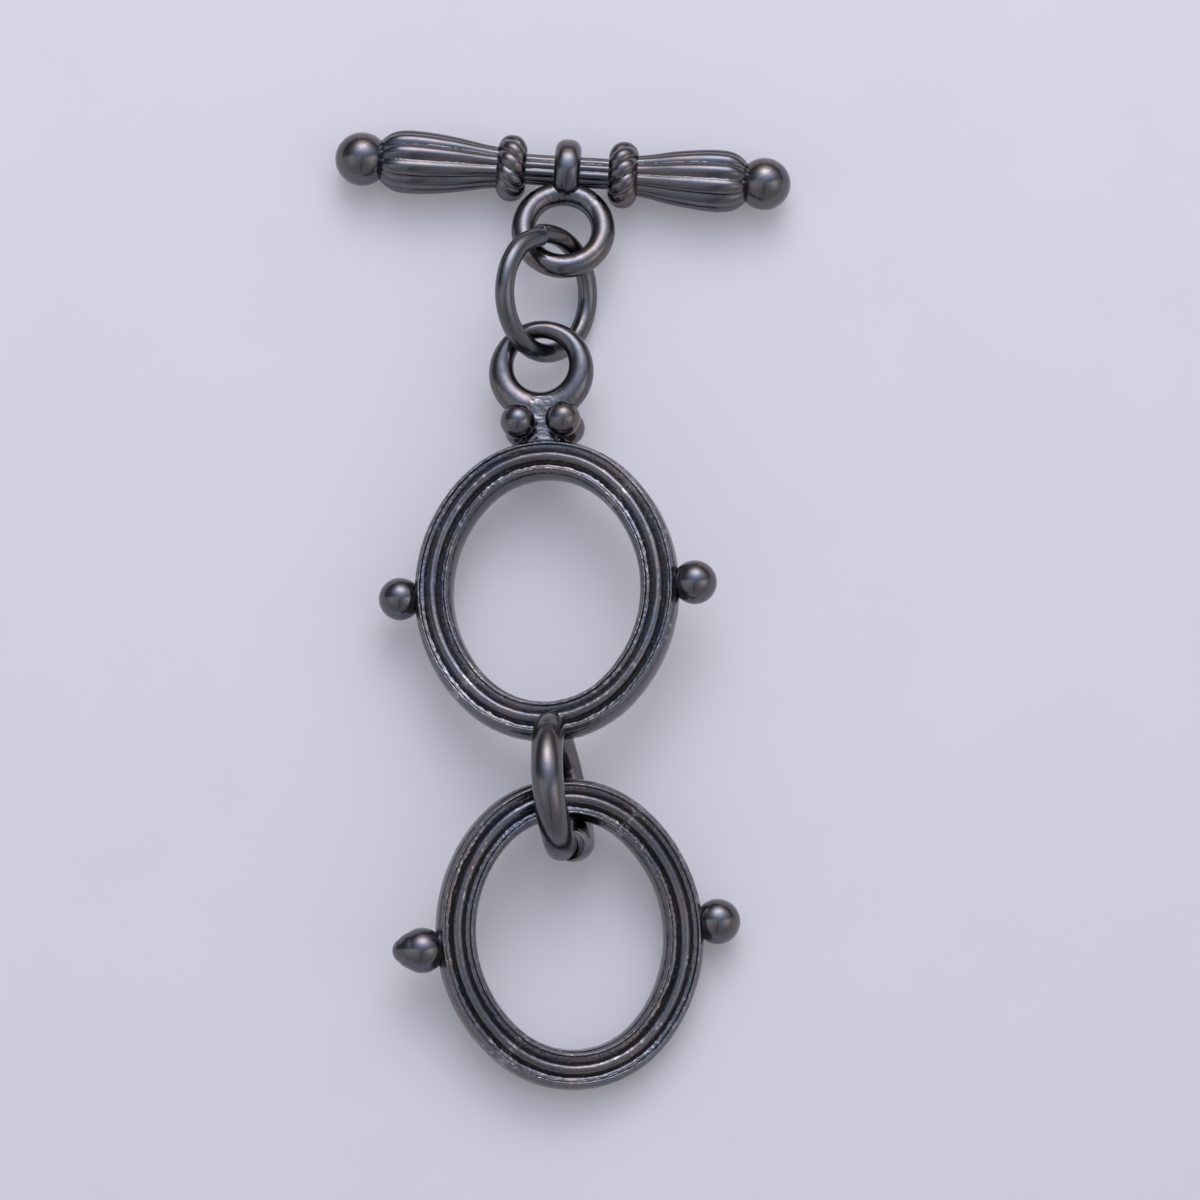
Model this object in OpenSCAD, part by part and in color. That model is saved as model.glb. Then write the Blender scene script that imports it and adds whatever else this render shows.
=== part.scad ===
// Toggle clasp: a lobed T bar, a jump ring and two moulded oval rings, lying flat as laid down.
// Millimetres. +Z up, +Y runs from the lower oval towards the bar. The origin is under the middle of the whole layout.

/* [Toggle bar] */
// Centre band to the middle of the left end ball, mm
bar_left = 9.20; // [8.8:0.05:9.6]
// Centre band to the middle of the right end ball, mm
bar_right = 8.83; // [8.5:0.01:9.4]
// Diameter of the left end ball, mm
ball_left_d = 2.42; // [2.2:0.02:2.6]
// Diameter of the right end ball, mm
ball_right_d = 2.36; // [2.2:0.02:2.6]
// Largest thickness of the lobed arms, mm
arm_d = 2.83; // [2.5:0.01:2.95]
// Number of lobes round the arms
lobes = 10; // [8:1:12]
// Depth of the grooves between lobes, as a share of the radius
groove_share = 0.15; // [0.06:0.01:0.2]
// Thickness of the shaft between the rope collars, mm
shaft_d = 1.38; // [1.2:0.02:1.5]
// Centre band to each rope collar, mm
collar_at = 2.50; // [2.3:0.05:2.8]
// Outside diameter of the rope collars, mm
collar_d = 3.02; // [2.9:0.02:3.2]
// Full twists of the two strands round one collar
collar_twists = 5; // [4:1:6]
// Outside diameter of the smooth centre band, mm
band_d = 2.92; // [2.7:0.02:3.0]
// Width of the smooth centre band, mm
band_w = 1.18; // [1.0:0.02:1.3]

/* [Bar eye] */
// Wire thickness of the bar's eye, mm
bar_eye_wire = 1.07; // [0.95:0.01:1.1]
// Diameter of the bar's eye measured through the middle of its wire, mm
bar_eye_pitch = 3.56; // [3.4:0.02:3.7]

/* [Jump ring] */
// Wire thickness of the jump ring, mm
jump_wire = 0.86; // [0.7:0.01:0.88]
// Diameter of the jump ring measured through the middle of its wire, mm
jump_pitch = 5.32; // [5.26:0.01:5.4]

/* [Oval rings] */
// Half width of both ovals through the middle of the bar, mm
oval_a = 5.02; // [4.9:0.01:5.1]
// Half length of both ovals through the middle of the bar, mm
oval_b = 5.95; // [5.9:0.01:6.05]
// Width of the upper oval's moulding, mm
upper_w = 1.76; // [1.6:0.01:1.8]
// Width of the lower oval's moulding, mm
lower_w = 1.81; // [1.6:0.01:1.84]
// Thickness of the moulding over its middle bead, mm
oval_t = 2.06; // [1.9:0.02:2.1]

/* [Balls and granules] */
// Diameter of the balls on the sides of the upper oval, mm
upper_ball_d = 1.92; // [1.7:0.02:2.1]
// Diameter of the balls on the sides of the lower oval, mm
lower_ball_d = 2.02; // [1.8:0.02:2.2]
// Length of the point of the lower oval's left ball, from the ball's middle, mm
point_len = 1.31; // [1.2:0.01:1.6]
// Diameter of the granules on the web, mm
granule_d = 1.574; // [1.4:0.01:1.6]

/* [Upper eye and loop] */
// Outside diameter of the upper oval's eye, mm
upper_eye_d = 4.69; // [4.6:0.01:4.8]
// Hole diameter of the upper oval's eye, mm
upper_eye_hole = 2.49; // [2.4:0.01:2.6]
// Offset of that hole towards the free end, mm
upper_eye_offset = 0.31; // [0:0.01:0.34]
// Wire thickness of the bottom loop, mm
loop_wire = 1.40; // [1.2:0.02:1.42]
// Diameter of the bottom loop measured through the middle of its wire, mm
loop_pitch = 5.32; // [5.18:0.01:5.4]
// Sideways spring of the loop's back end at the cut, mm
loop_splay = 0.93; // [0:0.01:1.0]
// Sideways lean of the loop's front end at the cut, mm
loop_lean = 0.22; // [0:0.01:0.3]

/* [Hidden] */
$fn = 64;

gunmetal = [0.27, 0.27, 0.29];

// where each piece lies: middle of the piece, then its turn about X, Y and Z in degrees
shift = [1.6616, 0.5444, 0];
bar_pos = [-1.462, 19.261, 1.509];
bar_turn = [-11, 0, -3.65];
jump_pos = [-2.387, 13.396, 2.539];
jump_turn = [19.63, 44.13, 16.30];
upper_pos = [-2.340, -0.204, 2.935];
upper_turn = [-2.5, -7.05, 1.83];
lower_pos = [-1.334, -15.424, 2.068];
lower_turn = [8.81, 6.05, 6.01];

module lay(pos, turn) translate(shift) translate(pos) rotate(turn) children();
// a ball as a lathe shape, its axis along Z
module ball(d) rotate_extrude() polygon([for (i = [0 : 24]) let (a = -90 + i * 7.5) [i % 24 == 0 ? 0 : d / 2 * cos(a), d / 2 * sin(a)]]);
// part of a ring of round wire
module wire_arc(pitch, wire, angle, start) rotate_extrude(angle = angle, start = start)
    translate([pitch / 2, 0]) polygon([for (i = [0 : 23]) wire / 2 * [cos(i * 15), sin(i * 15)]]);

// ---- toggle bar ----
// arm_table columns: share of the way from collar to ball, radius as a share of the arm's largest radius
arm_table = [
    [0.00, 0.610], [0.12, 0.657], [0.22, 0.718], [0.32, 0.796], [0.42, 0.871], [0.52, 0.928],
    [0.61, 0.969], [0.71, 0.997], [0.80, 1.000], [0.89, 0.946], [0.95, 0.826], [1.00, 0.636], [1.03, 0.460]
];
arm_left = bar_left - ball_left_d / 2 + 0.36 - collar_at;
arm_right = bar_right - ball_right_d / 2 + 0.36 - collar_at;
// places along the bar as [distance from the centre band, radius], from the left ball to the right ball
rod_line = concat(
    [for (i = [len(arm_table) - 1 : -1 : 0]) [-collar_at - arm_table[i][0] * arm_left, arm_table[i][1] * arm_d / 2]],
    [[-collar_at + 0.1, shaft_d / 2], [collar_at - 0.1, shaft_d / 2]],
    [for (i = [0 : len(arm_table) - 1]) [collar_at + arm_table[i][0] * arm_right, arm_table[i][1] * arm_d * 0.985 / 2]]);
rod_ends = [rod_line[0][0], rod_line[len(rod_line) - 1][0]];
groove_w = 0.17;
module rod() difference() {
    rotate([0, 90, 0]) rotate_extrude() polygon(concat([[0, rod_ends[0]]], [for (p = rod_line) [p[1], p[0]]], [[0, rod_ends[1]]]));
    for (i = [0 : lobes - 1]) rotate([i * 360 / lobes - 16, 0, 0]) rotate([90, 0, 0])
        linear_extrude(height = groove_w, center = true) polygon(concat(
            [for (i = [1 : len(rod_line) - 2]) [rod_line[i][0], rod_line[i][1] * (1 - groove_share)]],
            [[rod_ends[1] + 0.2, arm_d / 2 + 0.3], [rod_ends[0] - 0.2, arm_d / 2 + 0.3]]));
}

// rope collar: slanted beads, one for each place where a strand comes to the outside, round a plain core
bead_r = 0.41;
bead_len = 0.80;
bead_slant = 44;
module bead() rotate_extrude() polygon([for (i = [0 : 8]) let (a = -90 + i * 22.5) [abs(a) == 90 ? 0 : bead_r * cos(a), bead_len * sin(a)]]);
module collar(hand, first) {
    rotate([0, 90, 0]) ring_torus(collar_d - 1.22, 1.0);
    for (i = [0 : 2 * collar_twists - 1]) rotate([i * 180 / collar_twists + first, 0, 0])
        translate([0, 0, collar_d / 2 - bead_r]) rotate([0, 0, hand * bead_slant]) rotate([90, 0, 0]) bead();
}

module ring_torus(pitch, wire) rotate_extrude() translate([pitch / 2, 0]) circle(d = wire);

module toggle_bar() color(gunmetal) lay(bar_pos, bar_turn) {
    rod();
    translate([-bar_left, 0, 0]) rotate([0, 90, 0]) ball(ball_left_d);
    translate([bar_right, 0, 0]) rotate([0, 90, 0]) ball(ball_right_d);
    translate([-collar_at, 0, 0]) collar(-1, 8);
    translate([collar_at, 0, 0]) collar(1, 1);
    rotate([0, 90, 0]) ring_torus(band_d - band_w, band_w);
    translate([0, -bar_eye_pitch / 2 - 1.11, 0]) ring_torus(bar_eye_pitch, bar_eye_wire);
}

// ---- jump ring ----
jump_cut = 1.5; // degrees of the cut
module jump_ring() color(gunmetal) lay(jump_pos, jump_turn)
    rotate_extrude(angle = 360 - jump_cut, start = 95.5 + jump_cut / 2) translate([jump_pitch / 2, 0]) circle(d = jump_wire);

// ---- oval moulding ----
// Half outline from the widest point of the barrel-shaped outer wall over the lip, the sloping channel and the
// narrow groove to the top of the middle bead. The wall and the bead are arcs, the rest a few straight steps.
wall_r = 1.82;
lip_z = 0.90;
function wall_x(z, hw) = hw - wall_r + sqrt(wall_r * wall_r - z * z);
function half_profile(hw) = concat(
    [for (i = [0 : 4]) let (z = lip_z * i / 4.2) [wall_x(z, hw), z]],
    [[wall_x(lip_z, hw) - 0.01, lip_z], [wall_x(lip_z, hw) - 0.06, lip_z + 0.02], [wall_x(lip_z, hw) - 0.11, lip_z - 0.09],
     [0.36, 0.74], [0.275, 0.68], [0.235, oval_t / 2 - 0.25]],
    [for (a = [20, 45, 70, 90]) [0.25 * cos(a), oval_t / 2 - 0.25 + 0.25 * sin(a)]]);
function rev(v) = [for (i = [len(v) - 1 : -1 : 0]) v[i]];
function profile(hw) = let (h = half_profile(hw), n = len(h))
    concat(h,
        [for (i = [n - 2 : -1 : 0]) [-h[i][0], h[i][1]]],
        [for (i = [1 : n - 1]) [-h[i][0], -h[i][1]]],
        [for (i = [n - 2 : -1 : 1]) [h[i][0], -h[i][1]]]);
// an oval of four arcs that meet where the outline runs at 45 degrees
end_r = (oval_a - (sqrt(2) - 1) * oval_b) / (2 - sqrt(2));
side_r = (oval_b - (1 - sin(45)) * end_r) / sin(45);
module moulding_arc(r, from, hw) rotate_extrude(angle = 90, start = from) translate([r, 0]) polygon(profile(hw));
module oval(w) {
    for (s = [0, 180]) rotate([0, 0, s]) {
        translate([oval_a - side_r, 0, 0]) moulding_arc(side_r, -45, w / 2);
        translate([0, oval_b - end_r, 0]) moulding_arc(end_r, 45, w / 2);
    }
}

// ---- upper oval ----
eye_y = 10.04;
eye_wire = (upper_eye_d - upper_eye_hole) / 2;
eye_flare = upper_eye_hole / 2 + 0.5;
loop_y = 8.93;
web_t = 1.0;
granule_y = 7.605;
// plate between the oval and the eye, up to the middle of the eye's wire
module web() linear_extrude(height = web_t, center = true) polygon([
    // x, y of the plate's outline
    [-1.05, 6.45], [1.05, 6.45], [0.75, 7.05], [0.62, 7.60], [0.80, 8.20], [1.30, 8.85], [0.70, 9.20],
    [-0.70, 9.20], [-1.30, 8.85], [-0.80, 8.20], [-0.62, 7.60], [-0.75, 7.05]]);
// the eye's hole has a rounded wall and sits off its middle, so the wire is thin at the free end and thick at the web
module eye() difference() {
    union() {
        translate([0, eye_y, 0]) ring_torus(upper_eye_d - eye_wire, eye_wire);
        web();
    }
    translate([0, eye_y + upper_eye_offset, 0]) rotate_extrude() polygon(concat([[0, -1.2], [eye_flare, -1.2]],
        [for (i = [-5 : 5]) let (a = i * 18) [upper_eye_hole / 2 + 0.5 * (1 - cos(a)), 0.5 * sin(a)]],
        [[eye_flare, 1.2], [0, 1.2]]));
}
// the loop's wire leaves the oval's bottom edge upwards and downwards and meets again at the cut at the bottom;
// both halves hang from the edge turned a little sideways, the back one sprung much further than the front one
module loop() translate([0.08, loop_pitch / 2 - loop_y, 0]) {
    ball(loop_wire + 0.03);
    rotate([0, 0, asin(loop_lean / loop_pitch)]) translate([0, -loop_pitch / 2, 0]) rotate([90, 0, 90]) wire_arc(loop_pitch, loop_wire, 179.3, 0);
    rotate([0, 0, asin(loop_splay / loop_pitch)]) translate([0, -loop_pitch / 2, 0]) rotate([90, 0, 90]) wire_arc(loop_pitch, loop_wire, 179.3, -179.3);
}
module upper_oval() color(gunmetal) lay(upper_pos, upper_turn) {
    oval(upper_w);
    translate([-6.55, 0, 0]) rotate([0, 90, 0]) ball(upper_ball_d - 0.03);
    translate([6.57, 0, 0]) rotate([0, 90, 0]) ball(upper_ball_d + 0.03);
    for (x = [-1, 1]) for (z = [-0.8, 0.8]) translate([x, granule_y, z]) ball(granule_d);
    eye();
    loop();
}

// ---- lower oval ----
point_tip_r = 0.60;
function point_profile(r, len) = let (h = asin((r - point_tip_r) / (len - point_tip_r)))
    concat([for (i = [0 : 8]) let (a = -90 + i * (90 + h) / 8) [r * cos(a), r * sin(a)]],
        [for (i = [0 : 3]) let (a = h + i * (90 - h) / 3) [i == 3 ? 0 : point_tip_r * cos(a), len - point_tip_r + point_tip_r * sin(a)]]);
module lower_oval() color(gunmetal) lay(lower_pos, lower_turn) {
    oval(lower_w);
    translate([6.58, 0, 0]) rotate([0, 90, 0]) ball(lower_ball_d - 0.02);
    translate([-6.54, -0.157, 0]) rotate([0, -90, -4]) rotate_extrude() polygon(concat([[0, -lower_ball_d / 2]], point_profile(lower_ball_d / 2, point_len)));
}

toggle_bar();
jump_ring();
upper_oval();
lower_oval();
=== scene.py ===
import math

import bpy
import numpy as np
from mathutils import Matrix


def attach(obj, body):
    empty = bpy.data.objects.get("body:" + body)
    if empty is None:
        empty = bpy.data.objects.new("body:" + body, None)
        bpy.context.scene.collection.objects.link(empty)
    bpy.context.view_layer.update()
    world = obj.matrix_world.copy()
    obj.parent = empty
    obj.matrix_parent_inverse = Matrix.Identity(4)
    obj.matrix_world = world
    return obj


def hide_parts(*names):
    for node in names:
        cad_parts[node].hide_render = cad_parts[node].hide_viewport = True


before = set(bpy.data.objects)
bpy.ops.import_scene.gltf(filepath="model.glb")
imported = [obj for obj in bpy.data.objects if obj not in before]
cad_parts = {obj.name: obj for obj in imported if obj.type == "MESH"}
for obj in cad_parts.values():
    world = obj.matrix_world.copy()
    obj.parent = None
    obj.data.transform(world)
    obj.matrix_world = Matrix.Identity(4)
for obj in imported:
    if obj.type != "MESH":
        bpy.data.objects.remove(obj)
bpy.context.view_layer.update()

MM = 0.001
SHIFT = np.array([1.6616, 0.5444, 0.0])

# ------------------------------------------------------------------ small maths


def turn_matrix(turn):
    a, b, c = np.radians(turn)
    rx = np.array([[1, 0, 0], [0, np.cos(a), -np.sin(a)], [0, np.sin(a), np.cos(a)]])
    ry = np.array([[np.cos(b), 0, np.sin(b)], [0, 1, 0], [-np.sin(b), 0, np.cos(b)]])
    rz = np.array([[np.cos(c), -np.sin(c), 0], [np.sin(c), np.cos(c), 0], [0, 0, 1]])
    return rz @ ry @ rx


def lay(points, pos, turn):
    """Local millimetres of a piece to the place where it lies."""
    return points @ turn_matrix(turn).T + np.array(pos) + SHIFT


def smooth(a, b, x):
    t = np.clip((x - a) / (b - a), 0, 1)
    return t * t * (3 - 2 * t)


def hashed(ix, iy, iz, seed):
    h = (ix.astype(np.int64) * 73856093) ^ (iy.astype(np.int64) * 19349663) ^ (iz.astype(np.int64) * 83492791) ^ (seed * 2654435761)
    h = (h ^ (h >> 13)) * 1274126177
    h = h & 0x7FFFFFFF
    h = (h ^ (h >> 16)) & 0xFFFFFF
    return h / float(0xFFFFFF) * 2 - 1


def noise(p, size, seed=0):
    """Smooth value noise of points p (n, 3), cell size in mm, from -1 to 1."""
    q = np.asarray(p, float) / size
    i = np.floor(q)
    f = q - i
    f = f * f * f * (f * (f * 6 - 15) + 10)
    out = 0
    for dx in (0, 1):
        wx = f[..., 0] if dx else 1 - f[..., 0]
        for dy in (0, 1):
            wy = f[..., 1] if dy else 1 - f[..., 1]
            for dz in (0, 1):
                wz = f[..., 2] if dz else 1 - f[..., 2]
                out = out + wx * wy * wz * hashed(i[..., 0] + dx, i[..., 1] + dy, i[..., 2] + dz, seed)
    return out


def fractal(p, size, seed=0, octaves=3):
    out, amp, tot = 0, 1.0, 0
    for k in range(octaves):
        out = out + amp * noise(p, size / 2 ** k, seed + 11 * k)
        tot += amp
        amp *= 0.6
    return out / tot


# ------------------------------------------------------------------ mesh helpers


def grid_faces(n, m, close_i, close_j, base=0):
    i = np.arange(n if close_i else n - 1)
    j = np.arange(m if close_j else m - 1)
    I, J = np.meshgrid(i, j, indexing="ij")
    I1, J1 = (I + 1) % n, (J + 1) % m
    f = np.stack([I * m + J, I * m + J1, I1 * m + J1, I1 * m + J], -1).reshape(-1, 4)
    return f + base


def fan_cap(ring_ids, centre_id, flip):
    a = np.asarray(ring_ids)
    b = np.roll(a, -1)
    c = np.full_like(a, centre_id)
    return np.stack([c, b, a] if flip else [c, a, b], -1)


class Shell:
    """One closed skin: vertices (n, 3) in local mm, quads and triangles."""

    def __init__(self, verts, quads=None, tris=None):
        self.v = np.asarray(verts, float)
        self.q = np.zeros((0, 4), int) if quads is None else np.asarray(quads, int)
        self.t = np.zeros((0, 3), int) if tris is None else np.asarray(tris, int)

    def volume(self):
        t = np.vstack([self.t, self.q[:, [0, 1, 2]], self.q[:, [0, 2, 3]]])
        a, b, c = self.v[t[:, 0]], self.v[t[:, 1]], self.v[t[:, 2]]
        return (a * np.cross(b, c)).sum() / 6

    def outward(self):
        if self.volume() < 0:
            self.q = self.q[:, ::-1]
            self.t = self.t[:, ::-1]
        return self


def closed_grid(P, close_i=True, caps=False):
    """P (n, m, 3): rings of m points. Either a closed loop of rings, or a tube with capped ends."""
    n, m, _ = P.shape
    v = P.reshape(-1, 3)
    q = grid_faces(n, m, close_i, True)
    t = None
    if not close_i:
        c0, c1 = len(v), len(v) + 1
        v = np.vstack([v, P[0].mean(0), P[-1].mean(0)])
        t = np.vstack([fan_cap(np.arange(m), c0, True), fan_cap((n - 1) * m + np.arange(m), c1, False)])
    return Shell(v, q, t).outward()


def grid_normals(P, close_i):
    """Unit normals of a grid, pointing away from each ring's middle."""
    di = (np.roll(P, -1, 0) - np.roll(P, 1, 0)) if close_i else np.gradient(P, axis=0)
    dj = np.roll(P, -1, 1) - np.roll(P, 1, 1)
    n = np.cross(di, dj)
    n /= np.linalg.norm(n, axis=2, keepdims=True) + 1e-12
    c = P.mean(1, keepdims=True)
    s = np.sign(((P - c) * n).sum((1, 2)).sum())
    return n * (s if s else 1)


def frames_along(path, closed):
    """Tangents and a non-twisting pair of side directions along a path (n, 3)."""
    t = (np.roll(path, -1, 0) - np.roll(path, 1, 0)) if closed else np.gradient(path, axis=0)
    t /= np.linalg.norm(t, axis=1, keepdims=True)
    ref = np.array([0.0, 0.0, 1.0]) if abs(t[0, 2]) < 0.8 else np.array([1.0, 0.0, 0.0])
    u = np.cross(t[0], ref)
    u /= np.linalg.norm(u)
    us = [u]
    for k in range(1, len(path)):
        u = us[-1] - t[k] * (us[-1] @ t[k])
        u /= np.linalg.norm(u)
        us.append(u)
    us = np.array(us)
    if closed:  # spread the closing twist
        end = us[-1] - t[0] * (us[-1] @ t[0])
        end /= np.linalg.norm(end)
        w = np.cross(t[0], us[0])
        ang = math.atan2(end @ w, end @ us[0])
        n = len(path)
        a = -ang * np.arange(n) / n
        w = np.cross(t, us)
        us = us * np.cos(a)[:, None] + w * np.sin(a)[:, None]
    return t, us, np.cross(t, us)


def tube(path, radius, sides, closed, start=0.0):
    """Round wire along a path; radius may vary along it."""
    path = np.asarray(path, float)
    _, u, w = frames_along(path, closed)
    a = np.arange(sides) * 2 * np.pi / sides + start
    r = np.broadcast_to(np.asarray(radius, float), (len(path),))
    P = path[:, None] + r[:, None, None] * (np.cos(a)[None, :, None] * u[:, None] + np.sin(a)[None, :, None] * w[:, None])
    return P


def rounded_ends(path, radius, sides, bevel=0.06, steps=4, ripple=0.0):
    """Open wire with flat, slightly rounded cut faces at both ends; ripple raises rings on the cut faces."""
    path = np.asarray(path, float)
    P = tube(path, radius, sides, False)
    t, _, _ = frames_along(path, False)

    def cap(ring, centre, tan, r):
        rings = []
        for k in range(1, steps + 1):
            a = k / steps * np.pi / 2
            rr = (r - bevel + bevel * np.cos(a)) / r
            rings.append(centre + (ring - centre) * rr + tan * bevel * np.sin(a))
        for k, s in enumerate((0.93, 0.84, 0.75, 0.66, 0.56, 0.46, 0.34, 0.2)):
            rings.append(centre + (ring - centre) * s * (r - bevel) / r + tan * (bevel - ripple * (k % 2)))
        return rings

    r0 = np.broadcast_to(np.asarray(radius, float), (len(path),))
    head = cap(P[0], path[0], -t[0], r0[0])[::-1]
    tail = cap(P[-1], path[-1], t[-1], r0[-1])
    return np.concatenate([np.array(head), P, np.array(tail)], 0)


def revolve(profile, sides, axis="z"):
    """Profile rows of (radius, height), closed with poles at both ends when the radius is 0 there."""
    profile = np.asarray(profile, float)
    a = np.arange(sides) * 2 * np.pi / sides
    inner = profile[1:-1]
    P = np.stack([inner[:, 0:1] * np.cos(a), inner[:, 0:1] * np.sin(a), np.repeat(inner[:, 1:2], sides, 1)], -1)
    v = np.vstack([P.reshape(-1, 3), [[0, 0, profile[0, 1]], [0, 0, profile[-1, 1]]]])
    n = len(inner)
    q = grid_faces(n, sides, False, True)
    t = np.vstack([fan_cap(np.arange(sides), len(v) - 2, True), fan_cap((n - 1) * sides + np.arange(sides), len(v) - 1, False)])
    if axis == "x":
        v = v[:, [2, 0, 1]]
    return Shell(v, q, t).outward()


def ball(centre, d, rings=36, sides=72, seed=0, rough=0.0022, squash=(1, 1, 1)):
    a = np.linspace(-np.pi / 2, np.pi / 2, rings)
    s = revolve(np.stack([np.cos(a) * d / 2, np.sin(a) * d / 2], -1), sides)
    n = s.v / (d / 2)
    s.v = s.v * np.array(squash)
    s.v = s.v + n * (rough * fractal(s.v + seed * 7.1, 0.55, seed, 2))[:, None]
    s.v = s.v + np.array(centre)
    return s


def to_object(name, shells, pos, turn, union=True):
    """Shells laid in place, unioned into one skin."""
    objs = []
    for k, s in enumerate(shells):
        me = bpy.data.meshes.new(f"{name}_{k}" if k else name)
        faces = [tuple(f) for f in s.q.tolist()] + [tuple(f) for f in s.t.tolist()]
        me.from_pydata((lay(s.v, pos, turn) * MM).tolist(), [], faces)
        me.update()
        ob = bpy.data.objects.new(me.name, me)
        bpy.context.scene.collection.objects.link(ob)
        objs.append(ob)
    first = objs[0]
    if len(objs) > 1:
        # the solver works best on numbers near 1
        for ob in objs:
            ob.data.transform(scale_matrix(1000.0))
        for other in objs[1:]:
            m = first.modifiers.new("join", "BOOLEAN")
            m.operation = "UNION"
            m.solver = "MANIFOLD"
            m.object = other
            dg = bpy.context.evaluated_depsgraph_get()
            new = bpy.data.meshes.new_from_object(first.evaluated_get(dg))
            first.modifiers.clear()
            old = first.data
            first.data = new
            bpy.data.meshes.remove(old)
            me2 = other.data
            bpy.data.objects.remove(other)
            bpy.data.meshes.remove(me2)
        first.data.transform(scale_matrix(0.001))
        first.data.name = name
    first.name = name
    return first


def scale_matrix(k):
    from mathutils import Matrix
    return Matrix.Scale(k, 4)


# ------------------------------------------------------------------ toggle bar

BAR_POS, BAR_TURN = (-1.462, 19.261, 1.509), (-11, 0, -3.65)
BAR_LEFT, BAR_RIGHT = 9.20, 8.83
BALL_L, BALL_R = 2.42, 2.36
BALL_SKIN = 0.012                     # the balls are this much under the size the arms are built for
ARM_R, SHAFT_R, COLLAR_AT = 1.415, 0.69, 2.50
LOBES, LOBE_PHASE = 10, math.radians(2)

# share of the way from collar to ball, radius as a share of the arm's largest radius
ARM = np.array([
    (0.00, 0.610), (0.12, 0.657), (0.22, 0.718), (0.32, 0.796), (0.42, 0.871), (0.52, 0.928),
    (0.61, 0.969), (0.71, 0.997), (0.80, 1.000), (0.89, 0.946), (0.95, 0.826), (1.00, 0.636), (1.03, 0.460)])


def smooth_curve(xs, table):
    """Monotone-ish cubic through a table's points."""
    x, y = table[:, 0], table[:, 1]
    d = np.gradient(y, x)
    i = np.clip(np.searchsorted(x, xs) - 1, 0, len(x) - 2)
    h = x[i + 1] - x[i]
    t = np.clip((xs - x[i]) / h, 0, 1)
    return ((2 * t ** 3 - 3 * t ** 2 + 1) * y[i] + (t ** 3 - 2 * t ** 2 + t) * h * d[i]
            + (-2 * t ** 3 + 3 * t ** 2) * y[i + 1] + (t ** 3 - t ** 2) * h * d[i + 1])


def rod_shell():
    arm_l = BAR_LEFT - BALL_L / 2 + 0.36 - COLLAR_AT
    arm_r = BAR_RIGHT - BALL_R / 2 + 0.36 - COLLAR_AT
    tl = np.concatenate([np.linspace(1.03, 0.86, 26)[:-1], np.linspace(0.86, 0, 74)])
    xs = np.concatenate([-COLLAR_AT - tl * arm_l, np.linspace(-COLLAR_AT, COLLAR_AT, 46)[1:-1], (COLLAR_AT + tl * arm_r)[::-1]])
    rl = smooth_curve(tl, ARM) * ARM_R
    mid = np.full(44, SHAFT_R)
    R = np.concatenate([rl, mid, rl[::-1] * 0.985])
    side = np.abs(np.where(xs < 0, (-xs - COLLAR_AT) / arm_l, (xs - COLLAR_AT) / arm_r))
    m = 22 * LOBES
    th = np.arange(m) * 2 * np.pi / m
    u = (th - LOBE_PHASE) % (2 * np.pi / LOBES) - np.pi / LOBES          # 0 on a lobe's crest
    c = 0.72
    lobe = c * np.cos(u) + np.sqrt((1 - c) ** 2 - (c * np.sin(u)) ** 2)
    # the groove's floor is a little flat and grainy
    floor_at = 0.866
    soft = 0.022
    lobe = floor_at + soft * np.log1p(np.exp((lobe - floor_at) / soft))
    lobe = lobe / lobe.max()
    G = np.repeat(lobe[None], len(xs), 0)
    depth = 1 - G
    depth = depth * (1.0 - 0.25 * smooth(0.97, 1.03, side))[:, None]
    r = R[:, None] * (1 - depth)
    Y, Z = np.cos(th)[None] * r, np.sin(th)[None] * r
    P = np.stack([np.repeat(xs[:, None], m, 1), Y, Z], -1)
    N = grid_normals(P, False)
    groove = smooth(0.86, 0.90, G)
    groove = 1 - groove
    h = groove * (0.024 * fractal(P, 0.10, 5, 2) + 0.012 * noise(P * np.array([0.6, 1, 1]), 0.3, 8))
    h = h + 0.0035 * noise(P * np.array([0.25, 1, 1]), 0.16, 21) + 0.004 * noise(P, 0.9, 33)
    end = smooth(0.93, 1.0, side)[:, None]
    h = h + end * 0.012 * fractal(P, 0.12, 9, 2)
    P = P + N * h[..., None]
    return closed_grid(P, close_i=False)


def collar_shells(at, hand, first):
    """Two strands laid round each other, closed into a ring about the bar."""
    out = []
    strand, twist_r, turns = 0.405, 0.265, 5
    ring = 1.51 - strand - twist_r
    n = 150
    f = np.arange(n) * 2 * np.pi / n
    for k in (0, 1):
        psi = -hand * turns * f + k * np.pi + first
        rad = ring + twist_r * np.cos(psi)
        path = np.stack([at + twist_r * np.sin(psi) * 1.0, rad * np.cos(f), rad * np.sin(f)], -1)
        P = tube(path, strand, 22, True)
        N = grid_normals(P, True)
        P = P + N * (0.004 * noise(P, 0.4, 40 + k) + 0.003 * noise(P, 0.12, 50 + k))[..., None]
        # the collar is ground a little flat on its outside
        rr = np.hypot(P[..., 1], P[..., 2])
        lim = 1.512
        k2 = np.where(rr > lim - 0.03, (lim - 0.03 + 0.5 * (rr - lim + 0.03)) / rr, 1)
        P[..., 1] *= k2
        P[..., 2] *= k2
        out.append(closed_grid(P))
    return out


def band_shell():
    n, m = 110, 40
    f = np.arange(n) * 2 * np.pi / n
    a = np.arange(m) * 2 * np.pi / m
    e = 2 / 2.5
    cx = np.sign(np.cos(a)) * np.abs(np.cos(a)) ** e
    sx = np.sign(np.sin(a)) * np.abs(np.sin(a)) ** e
    rad = 0.87 + 0.59 * cx
    x = 0.59 * sx
    P = np.stack([np.repeat(x[None], n, 0), np.cos(f)[:, None] * rad, np.sin(f)[:, None] * rad], -1)
    N = grid_normals(P, True)
    P = P + N * (0.004 * noise(P, 0.35, 61) + 0.0025 * noise(P, 0.12, 62))[..., None]
    return closed_grid(P)


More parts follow.
